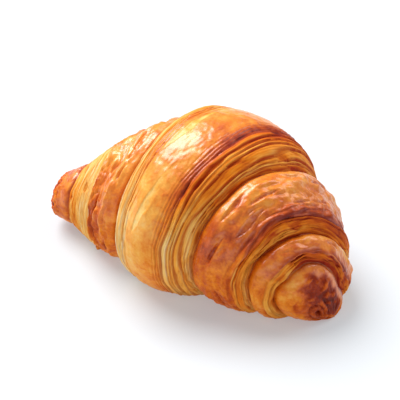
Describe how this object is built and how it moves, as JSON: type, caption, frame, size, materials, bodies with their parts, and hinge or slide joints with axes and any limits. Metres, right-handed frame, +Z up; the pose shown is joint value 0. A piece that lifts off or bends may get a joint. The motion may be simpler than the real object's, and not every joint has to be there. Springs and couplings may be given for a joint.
{
  "type": "croissant",
  "caption": "Plump butter croissant, a rolled crescent of laminated dough baked golden brown, flattened beneath where it rests on the table.",
  "frame": {"origin": "on the table, under the middle of the croissant's bounding box", "axes": "+X along the roll, towards the blunter tip; -Y towards the hollow side that both tips bend to; +Z up"},
  "size_m": [0.1508, 0.0918, 0.0766],
  "materials": {
    "baked_crust": "egg-washed crust, golden brown, satin gloss over the turns and matt on the cut layers"
  },
  "bodies": {
    "root": {"croissant": "baked_crust"}
  },
  "joints": []
}
